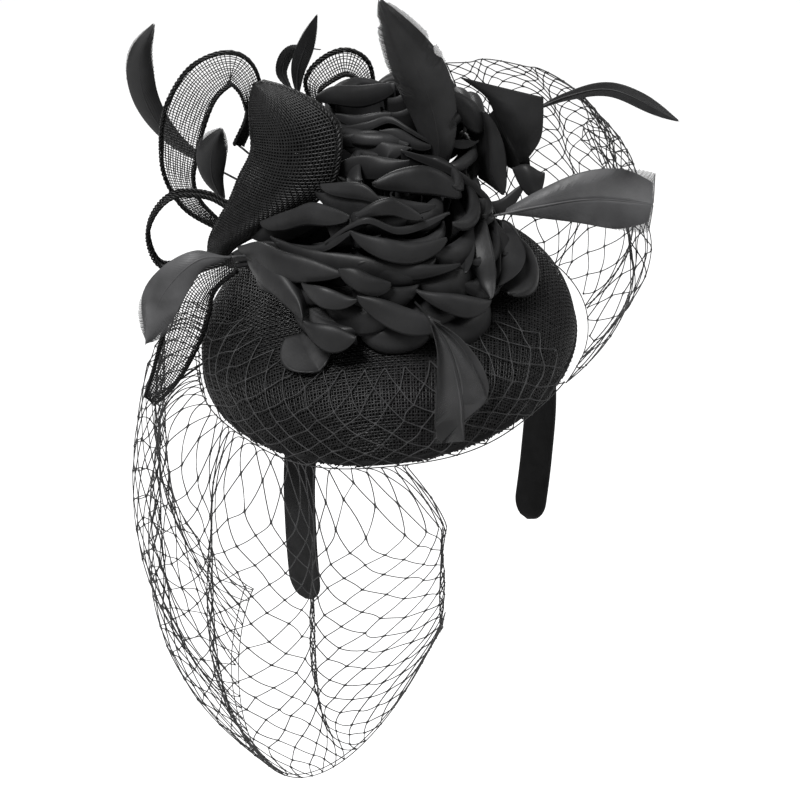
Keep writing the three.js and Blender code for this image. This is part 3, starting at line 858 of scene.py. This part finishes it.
# Front petals of the second flower, as on the rose.
BLOOM_SWAGS = [
    (2, 8, [(-17, 30, 101), (-10, 33, 103), (2, 36, 101), (15, 38, 98)]),
    (2, 5, [(-10, 27, 94), (0, 23, 96), (12, 21, 96)]),
    (1, 2.5, [(-12, 24, 89), (2, 19, 94), (11, 20, 96), (18, 16, 93), (26, 15, 85)]),
    (1, 5, [(7, 16, 92), (15, 15, 92), (26, 14, 84)]),
    (0, 6, [(-15, 18, 90), (2, 17, 92), (18, 12, 88)]),
    (2, 12, [(29, 33, 100), (37, 33, 96), (43, 33, 90), (48, 34, 82)]),
    (0, 2.5, [(30, 18, 84), (37, 20, 81), (44, 24, 78)]),
    (0, 5, [(41, 14, 56), (51, 19, 53), (60, 22, 57)]),
    (1, 11, [(56, 24, 64), (62, 22, 65), (68, 21, 62)]),
]
BLOOM_STANDING = [
    (1, 6, [(47, 32, 86), (47, 27, 74), (48, 23, 63), (51, 20, 54)], (1, 0.2, 0)),
    (1, 5, [(51, 34, 85), (54, 31, 75), (58, 27, 65), (61, 24, 57)], (1, 0.3, -0.2)),
]


def make_bloom():
    rng = np.random.default_rng(11)
    limits = [(FRONT, 24), (BACK, 18), (RIGHT, 25), (LEFT, 28)]
    for i, (radius, count) in enumerate(zip([36, 31, 24], [6, 5, 4])):
        shape = Shape(from_bloom)
        half, height = PI / count * 1.15, 12 + 7 * i
        for k in range(count):
            angle = 2 * PI * (k + 0.4 * i) / count + rng.uniform(-0.15, 0.15)
            reach = radius * rng.uniform(0.94, 1.0)
            low, high = 50 + 6 * i, 50 + 6 * i + height + rng.uniform(-2, 2)
            roll, tilt = rng.uniform(2.6, 3.8), rng.uniform(-0.1, 0.1)
            add_petal(shape, cup_petal(angle, half, reach, low, high, roll, limits, tilt), 26, 26)
        cut = count * petal_cut(1.5 * half * radius, math.hypot(radius, height) + 8)
        finish_ring(shape, "bloom", i, cut, BLOOM_SWAGS, BLOOM_STANDING, outward=(0.1, -1, 0), depth=10)
    flower_heart("bloom", from_bloom, (0, 0, 0), 2.6, 60, 97, 1.7)
    wrapped_stem("bloom", from_bloom, 35.2, 48.5)


def dome_height(distance):
    """Height of the crown's outside at a distance from its middle."""
    share = np.minimum(1, distance / CROWN_RADIUS) ** CROWN_SQUARENESS
    return CROWN_HEIGHT * (1 - share) ** (1 / CROWN_SQUARENESS)


def make_felt_base():
    shape = Shape()

    def disc(u, v):
        place = polar(FELT_RADIUS * np.maximum(v, 0.01), 2 * PI * u, 0 * u) + (*FELT_CENTRE, 0)
        crown = dome_height(np.hypot(place[..., 0], place[..., 1]))
        place[..., 2] = crown + 0.3 + FELT_THICKNESS / 2
        return place

    closed_sheet(shape, disc, 120, 24, FELT_THICKNESS)
    felt = shape.piece("flower_felt_disc", FELT, "felt", ["flower_felt"])


# ---------- Straw loops ----------


def foot_wire(shape, start):
    """The wire that ties a loop or a feather down under the flowers."""
    start = np.array(start, float)
    middle = (start + FOOT) / 2 - (0, 0, 4)
    tubes(shape, spline([start, middle, FOOT], 24)[None], 0.5, sides=6)


def woven(shape, surface, length, width, pitch=1.15, thread=0.2, lift=0.0):
    """Straw cloth over surface(t, s, above), with t along it and s from -0.5 to 0.5 across it."""
    rows, columns = int(length / pitch) + 1, int(width / pitch) + 1
    t, s = np.meshgrid(np.linspace(0, 1, rows), np.linspace(-0.5, 0.5, columns), indexing="ij")
    over = WEAVE_RISE * (-1.0) ** np.add.outer(np.arange(rows), np.arange(columns))
    wobble = 0.18 * np.sin(t * length * 0.4 + s * 31) / width
    lengthwise = surface(t, s + wobble, lift + over)
    crosswise = surface(t, s, lift - over)
    tubes(shape, lengthwise.transpose(1, 0, 2), thread, flat=1.25, up=(0.3, 0.2, 0.9))
    tubes(shape, crosswise, thread, flat=1.25, up=(0.2, 0.3, 0.9))


def wired_edge(shape, surface, length, width, radius=0.75):
    """Strands twisted round the wire along each side of the cloth."""
    strands, twist = 4, 7
    t = np.linspace(0, 1, int(length / 1.1))
    for side in (-1, 1):
        for strand in range(strands):
            turn = 2 * PI * (t * length / twist + strand / strands)
            s = side * 0.5 + radius * np.cos(turn) / width
            line = surface(t, s, radius * np.sin(turn))
            tubes(shape, line[None], 0.56 * radius, up=(0.25, 0.2, 0.9))


def radial(route, centre, depth=0.35):
    """Width directions that point away from a loop's middle, and a little to the back."""
    return unit(np.array(route, float) - centre) + (0, depth, 0)


def straw_loop(name, route, direction, width_at, node):
    """A strip of straw cloth bent along a route."""
    strip = Strip(route, direction)
    widest = max(width_at(np.linspace(0, 1, 50)))

    def surface(t, s, above):
        return strip.place(t, s * width_at(t), above)

    shape = Shape()
    woven(shape, surface, strip.length, widest)
    wired_edge(shape, surface, strip.length, widest)
    foot_wire(shape, route[0])
    foot_wire(shape, route[-1])
    shape.piece(name, STRAW, "straw", [node])


SCOOP_WIDTH = 48
SCOOP_LEFT = [
    (-39, 29, 111), (-42, 30, 102), (-43, 28, 91), (-44, 26, 82),
    (-50, 22, 73), (-55, 18, 65), (-60, 15, 59), (-65, 13, 51), (-67, 12, 41),
]
SCOOP_RIGHT = [
    (-36, 28, 112), (-28, 24, 111), (-18, 18, 108), (-10, 12, 103), (-8, 8, 98),
    (-9, 4, 90), (-13, 1, 80), (-25, 1, 70), (-43, 4, 59), (-56, 7, 50), (-62, 9, 41),
]


def straw_scoop():
    """The front loop: a broad cone of doubled straw cloth that narrows to its foot."""
    left, right = spline(SCOOP_LEFT, 400), spline(SCOOP_RIGHT, 400)
    length = np.linalg.norm(np.diff(right, axis=0), axis=1).sum()
    shape = Shape()
    for bulge in (-9, 11):

        def surface(t, s, above, bulge=bulge):
            share = np.clip(s + 0.5, -0.02, 1.02)[..., None]
            flat = interpolated(left, t) * (1 - share) + interpolated(right, t) * share
            domed = bulge * np.sin(PI * t) ** 0.7 * np.cos(PI * np.clip(s, -0.5, 0.5))
            return flat + (domed - above)[..., None] * np.array([0.15, 0.9, -0.3])

        woven(shape, surface, length, SCOOP_WIDTH, pitch=1.4, thread=0.4)
        woven(shape, surface, length, SCOOP_WIDTH, pitch=1.6, thread=0.4, lift=1.1)
        wired_edge(shape, surface, length, SCOOP_WIDTH, radius=1.3)
    foot_wire(shape, SCOOP_RIGHT[-1])
    shape.piece("straw_loop_front", STRAW, "straw", ["loop_front"])


LOOP_BACK = [
    (-65, 44, 35), (-75, 45, 47), (-78, 46, 59), (-76, 46, 72), (-70, 46, 90),
    (-60, 46, 104), (-49, 46, 108), (-44, 46, 100), (-45, 46, 86), (-52, 46, 72),
]
LOOP_SMALL = [
    (-57, 27, 56), (-65, 29, 61), (-78, 29, 63), (-87, 29, 56), (-92, 29, 44), (-89, 29, 30),
    (-76, 29, 30),
]
LOOP_TOP = [(-21, 66, 74), (-21, 66, 84), (-15, 66, 90), (-7, 66, 93), (-1, 66, 89), (1, 66, 76)]
BOW_TAIL = [(-54, -7, 53), (-70, -7, 41), (-79, -7, 23), (-90, -8, 2), (-98, -8, -10)]


def make_loops():
    straw_scoop()
    straw_loop("straw_loop_back", LOOP_BACK, radial(LOOP_BACK, (-58, 46, 80)),
               lambda t: 4 + 13 * np.sin(PI * np.minimum(1, 1.15 * t)) ** 0.8, "loop_back")
    straw_loop("straw_loop_small", LOOP_SMALL, AWAY, lambda t: 3 + 0 * t, "loop_small")
    straw_loop("straw_loop_top", LOOP_TOP, radial(LOOP_TOP, (-10, 66, 78), 0.8),
               lambda t: 5 + 5 * np.sin(PI * t), "loop_top")
    straw_loop("straw_bow_tail", BOW_TAIL, (0.85, -0.3, 0.5),
               lambda t: 3 + 13 * np.sin(PI * np.minimum(1, 0.1 + 0.87 * t)) ** 0.8, "bow_tail")


# ---------- Feathers ----------

BARB_LEAN = 0.9
BARB_SPACING = 0.5
RIB_PITCH = 1.1


def vane_half_width(share, width, widest, tip):
    """Half the width of a feather's blade at a share of its length."""
    rising = np.sin(PI / 2 * np.minimum(1, share / widest)) ** 0.9
    falling = np.clip((share - widest) / (1 - widest), 0, 1)
    return width / 2 * rising * (1 - (1 - tip) * falling**1.7)


def vane_gap(share, side, notch):
    """How much of a blade is missing on one side where its barbs have parted."""
    return notch * 1.5 * np.maximum(0, np.sin(19 * share + 2 * side) - 0.8)


def feather(name, route, width, direction, look, widest=0.6, tip=0.0, cup=0.0, notch=0.0, slant=0.0):
    """A feather: a tapering quill, a thin blade ribbed by its barbs, and loose barb ends."""
    strip = Strip(route, direction)
    shape = Shape()
    t = np.linspace(0, 1, 60)
    tubes(shape, strip.place(t, 0 * t, 0.15)[None], (0.6 - 0.45 * t)[None], sides=8)
    foot_wire(shape, route[0])

    def blade(u, v):
        s = 2 * u - 1
        share = 0.03 + 0.96 * v
        half = 0.96 * vane_half_width(share, width, widest, tip) + 0.25
        lag = BARB_LEAN * half * np.abs(s)
        cut = 1 - vane_gap(share, np.sign(s), notch) * np.abs(s)
        forward = lag / strip.length * (1 - v)
        rib = 0.07 * np.sin(2 * PI * (share * strip.length - lag) / RIB_PITCH)
        ending = 1 - slant * (1 + s) / 2
        return strip.place((share + forward) * ending, s * half * cut, cup * s**2 + rib)

    closed_sheet(shape, blade, 40, int(strip.length * 4), 0.16)
    count = int(strip.length / BARB_SPACING)
    base = np.linspace(0.04, 0.99, count)
    rng = np.random.default_rng(len(name) + int(width * 10))
    step = np.linspace(0, 1, 9)
    for side in (-1, 1):
        half = vane_half_width(base, width, widest, tip) * (1 + 0.05 * rng.random(count))
        forward = BARB_LEAN * half / strip.length
        ending = 1.01 - slant * (1 + side) / 2
        room = np.clip((ending - base) / forward, 0, 1) * (1 - vane_gap(base, side, notch))
        along = base[:, None] + (forward * room)[:, None] * step**0.85
        across = side * (half * room)[:, None] * step
        above = cup * (across / np.maximum(half, 0.1)[:, None]) ** 2 + 0.12
        radius = np.broadcast_to(0.1 * (1 - 0.5 * step**3), along.shape)
        lines = strip.place(along, across, above)
        tubes(shape, lines, radius, flat=2.4, up=interpolated(strip.up, along))
    shape.piece(name + "_barbs", look, "feather", [name])


def make_feathers():
    facing = (1, 0, 0)
    feather("feather_top", [(25, 14, 59), (29, 14, 87), (26, 14, 114), (14, 14, 151)],
            21, facing, FEATHER, widest=0.55, notch=0.5, cup=3)
    feather("feather_right", [(50, -3, 61), (65, -3, 63), (86, -3, 64), (109, -3, 59)],
            24, (0, 0.45, 1), FEATHER_PALE, widest=0.72, tip=0.62, cup=-3)
    feather("feather_front", [(22, -57, 55), (28, -64, 45), (31, -74, 30), (30, -81, 14)],
            22, facing, FEATHER, widest=0.8, tip=0.75, cup=3, slant=0.3)
    feather("feather_left", [(-54, -14, 61), (-66, -18, 64), (-81, -22, 53), (-92, -25, 31)],
            16, (-0.6, 0.45, 0.65), FEATHER_PALE, cup=2)
    feather("feather_curl",
            [(-63, 64, 48), (-79, 64, 63), (-88, 64, 84), (-87, 64, 106), (-79, 64, 120)],
            11, facing, FEATHER, widest=0.65, cup=2)
    feather("feather_spray", [(-29, 76, 72), (-27, 76, 85), (-22, 76, 97), (-16, 76, 110)],
            7, facing, FEATHER, widest=0.5)
    feather("feather_hook", [(-31, 80, 72), (-34, 80, 83), (-28, 80, 93), (-17, 80, 91)],
            7, (0.6, 0.5, -0.6), FEATHER, widest=0.5)
    feather("feather_arched", [(66, 38, 80), (80, 38, 85), (97, 35, 88), (122, 22, 79)],
            6, (0.3, 0.5, 1), FEATHER, widest=0.7)
    feather("feather_leaf", [(-60, 35, 52), (-63, 35, 65), (-61, 35, 78), (-56, 35, 87)],
            12, facing, FEATHER, widest=0.55, cup=2)


# ---------- Loose petals ----------


def make_folded_petal():
    inner = spline([(40, 22, 109), (49, 22, 99), (52, 24, 88), (55, 25, 76), (59, 24, 65)], 80)
    outer = spline([(71, 19, 98), (70, 20, 88), (68, 21, 78), (64, 22, 71), (60, 24, 65)], 80)

    def corner(u, v):
        row = (v * (len(inner) - 1)).astype(int)
        bulge = 3.5 * np.sin(PI * u) * np.sin(PI * v)
        place = inner[row] * (1 - u[..., None]) + outer[row] * u[..., None]
        return place - bulge[..., None] * np.array(AWAY)

    folded = Shape()
    add_petal(folded, corner, 24, 30)
    petal = folded.piece("folded_petal_cloth", SATIN, "satin", ["folded_petal"])


def make_front_sepal():
    middle = Strip([(-30, -34, 0), (-27, -43, 0), (-23, -52, 0)], (1, 0, 0))

    def leaf(u, v):
        s = 2 * u - 1
        place = middle.place(v, 11 * s * np.sin(PI * (0.15 + 0.8 * v)) ** 0.8)
        lift = 4 + 1.5 * np.abs(s) - 2 * v
        place[..., 2] = dome_height(np.hypot(place[..., 0], place[..., 1])) + lift
        return place

    sepal = Shape()
    add_petal(sepal, leaf, 20, 20)
    petal = sepal.piece("front_sepal_cloth", SATIN, "satin", ["front_sepal"])


# ---------- Veil ----------


def net(shape, surface, columns, rows, rng):
    """Diamond netting over surface(u, v): threads between knots where column plus row is even."""
    shake_u = rng.normal(0, NET_JITTER, (columns + 1, rows + 1))
    shake_v = rng.normal(0, NET_JITTER, (columns + 1, rows + 1))
    step = np.array([0, 0.05, 0.12, 0.28, 0.5, 0.72, 0.88, 0.95, 1])
    knot = 1 + 1.1 * np.exp(-((np.minimum(step, 1 - step) / 0.05) ** 2))
    for turn in (1, -1):
        i, j = np.meshgrid(np.arange(columns + 1), np.arange(rows), indexing="ij")
        fits = ((i + j) % 2 == 0) & (i + turn >= 0) & (i + turn <= columns)
        i, j = i[fits], j[fits]
        i2, j2 = i + turn, j + 1
        u0, v0 = i + shake_u[i, j], j + shake_v[i, j]
        u1, v1 = i2 + shake_u[i2, j2], j2 + shake_v[i2, j2]
        bow = rng.normal(0, 0.07, len(i))[:, None] * np.sin(PI * step)
        u = (u0[:, None] + (u1 - u0)[:, None] * step + bow) / columns
        v = (v0[:, None] + (v1 - v0)[:, None] * step - 0.5 * bow) / rows
        lines = surface(np.clip(u, 0, 1), np.clip(v, 0, 1))
        tubes(shape, lines, NET_THREAD * knot)


def edge_line(shape, surface, u, v):
    """A thread laid along an edge of the net."""
    tubes(shape, surface(u, v)[None], NET_THREAD)


def dome_radius(height, extra):
    """Distance of the crown's outside from its middle at a height, on a crown extra larger."""
    share = np.clip(height / (CROWN_HEIGHT + extra), 0, 1) ** CROWN_SQUARENESS
    return (CROWN_RADIUS + extra) * (1 - share) ** (1 / CROWN_SQUARENESS)


def veil_over_crown(u, v):
    """The net that lies over the front of the crown, from its right to its left."""
    angle = np.radians(-176 + 150 * u)
    height = 0.5 + 30 * v
    out = dome_radius(height, 1.3) - 8 * np.maximum(v - 0.7, 0) + 0.8 * np.sin(19 * u + 7 * v)
    return polar(out, angle, height)


def rim_height(x, y):
    """Height of the rim's plane above a place of the row's ground plan."""
    right = (x - CROWN_CENTRE[0]) * math.tan(LEAN_RIGHT)
    forward = (y - CROWN_CENTRE[1]) * math.tan(LEAN_FORWARD)
    return CROWN_CENTRE[2] + right + forward


def rim_point(angle):
    """Where the rim lies in a direction of the row's ground plan."""
    flat = np.stack([np.cos(angle), np.sin(angle), 0 * angle], axis=-1) @ CROWN_AXES.T
    flat[..., 2] = 0
    return from_crown((CROWN_RADIUS + 1.5) * unit(flat) + np.array([0, 0, 1.0]))


def veil_at_cheek(u, v):
    """The deep net that hangs from the rim at the wearer's right, in loose folds."""
    swing = 0.045 * np.sin(2 * PI * CHEEK_FOLDS * u + 0.8) * np.sin(PI * v) ** 0.5
    fold_u = np.clip(u + swing, 0, 1)
    angle = np.radians(108 + 120 * fold_u)
    droop = np.sin(PI * (0.12 + 0.87 * fold_u**1.25))
    lowest = -CHEEK_SHORTEST - CHEEK_EXTRA_DROP * np.maximum(droop, 0) ** 0.8
    share = 0.88 + 0.12 * np.sin(PI * np.minimum(1, 0.15 + 0.62 * v)) - 0.3 * v**5
    share = share + 0.045 * np.cos(2 * PI * CHEEK_FOLDS * u + 0.8) * np.sin(PI * v)
    wide, deep = CHEEK_HALF_SPAN
    x, y = wide * share * np.cos(angle), 5 + deep * share * np.sin(angle)
    top = rim_height(x, y) - 6
    hung = np.stack([x, y, top + (lowest - top) * v], axis=-1)
    part = smooth(v / 0.14)[..., None]
    return rim_point(angle) * (1 - part) + hung * part


def veil_puff(u, v):
    """The net that stands out in a puff behind the flowers, gathered at its foot."""
    front_edge = 6 - 34 * smooth(1 - v / 0.42)
    fold_u = np.clip(u + 0.03 * np.sin(2 * PI * PUFF_FOLDS * u), 0, 1)
    angle = np.radians(front_edge + (66 - front_edge) * fold_u)
    rise = np.radians(-27 + 67 * v)
    swell = PUFF_SWELL * np.cos(rise) ** 2 * smooth(0.2 + v / 0.35) * np.sin(PI * (0.22 + 0.63 * u))
    folds = 3 * np.cos(2 * PI * PUFF_FOLDS * u) * np.sin(PI * v)
    out = 68 + 8 * (1 - smooth(v / 0.3)) + swell + folds
    return polar(out, angle, 36 + 74 * np.sin(rise))


def make_veil():
    rng = np.random.default_rng(3)
    across, down = np.linspace(0, 1, 160), np.linspace(0, 1, 90)
    over = Shape()
    net(over, veil_over_crown, 34, 8, rng)
    edge_line(over, veil_over_crown, across, 0 * across)
    over.piece("veil_crown_net", NET, "net", ["veil_crown"])
    cheek = Shape(from_row)
    net(cheek, veil_at_cheek, 62, 24, rng)
    for v in (0.985, 1):
        edge_line(cheek, veil_at_cheek, across, 0 * across + v)
    for u in (0, 0.012, 0.988, 1):
        edge_line(cheek, veil_at_cheek, 0 * down + u, down)
    cheek.piece("veil_cheek_net", NET, "net", ["veil_cheek"])
    puff = Shape()
    net(puff, veil_puff, 34, 24, rng)
    for side in (0, 1):
        edge_line(puff, veil_puff, across, 0 * across + side)
        edge_line(puff, veil_puff, 0 * down + side, down)
    puff.piece("veil_puff_net", NET, "net", ["veil_puff"])


# ---------- Room, light and camera ----------

LOOK_AT = np.array([-20.0, -4.8, -54.0]) * MM
CAMERA_DISTANCE = 1.3
CAMERA_LENS = 146
AZIMUTH = math.radians(-45)
ELEVATION = math.radians(18)
FLOOR_HEIGHT = -0.4
FLOOR_HALF_SIZE = 8
FLOOR_SHADE = 0.25
FLOOR_GLOW = 0.75
ROOM_LIGHT = 0.6


def make_floor():
    look = Look("floor", 0.9, 0.9)
    look.shader.inputs["Base Color"].default_value = (FLOOR_SHADE, FLOOR_SHADE, FLOOR_SHADE, 1)
    look.shader.inputs["Emission Color"].default_value = (1, 1, 1, 1)
    look.shader.inputs["Emission Strength"].default_value = FLOOR_GLOW
    mesh = bpy.data.meshes.new("floor")
    corners = [(-1, -1), (1, -1), (1, 1), (-1, 1)]
    places = [(FLOOR_HALF_SIZE * x, FLOOR_HALF_SIZE * y, FLOOR_HEIGHT) for x, y in corners]
    mesh.from_pydata(places, [], [(0, 1, 2, 3)])
    floor = bpy.data.objects.new("floor", mesh)
    bpy.context.scene.collection.objects.link(floor)
    mesh.materials.append(look.material)


def make_world():
    world = bpy.data.worlds.new("studio")
    world.use_nodes = True
    background = world.node_tree.nodes["Background"]
    background.inputs["Color"].default_value = (1, 1, 1, 1)
    background.inputs["Strength"].default_value = ROOM_LIGHT
    bpy.context.scene.world = world
    bpy.context.scene.view_settings.view_transform = "Standard"


def soft_light(name, place, size, power):
    """A square soft box that faces the object."""
    data = bpy.data.lights.new(name, "AREA")
    data.shape = "SQUARE"
    data.size = size
    data.energy = power
    lamp = bpy.data.objects.new(name, data)
    bpy.context.scene.collection.objects.link(lamp)
    lamp.location = place
    lamp.rotation_euler = (Vector(LOOK_AT) - lamp.location).to_track_quat("-Z", "Y").to_euler()


def make_lights():
    soft_light("key", (-1.3, -0.3, 1.4), 0.6, 90)
    soft_light("fill", (0.9, -1.3, 0.9), 0.9, 14)
    soft_light("rim", (0.6, 1.4, 1.3), 0.8, 30)


def make_camera():
    back = Vector((
        math.sin(AZIMUTH) * math.cos(ELEVATION),
        -math.cos(AZIMUTH) * math.cos(ELEVATION),
        math.sin(ELEVATION),
    ))
    data = bpy.data.cameras.new("camera")
    data.lens = CAMERA_LENS
    data.clip_end = 50
    camera = bpy.data.objects.new("camera", data)
    bpy.context.scene.collection.objects.link(camera)
    camera.location = Vector(LOOK_AT) + back * CAMERA_DISTANCE
    camera.rotation_euler = (-back).to_track_quat("-Z", "Y").to_euler()
    bpy.context.scene.camera = camera


make_camera()
make_floor()
make_world()
make_lights()
make_crown()
make_headband()
make_saddle()
make_felt_base()
make_rose()
make_bloom()
make_folded_petal()
make_front_sepal()
make_loops()
make_feathers()
make_veil()
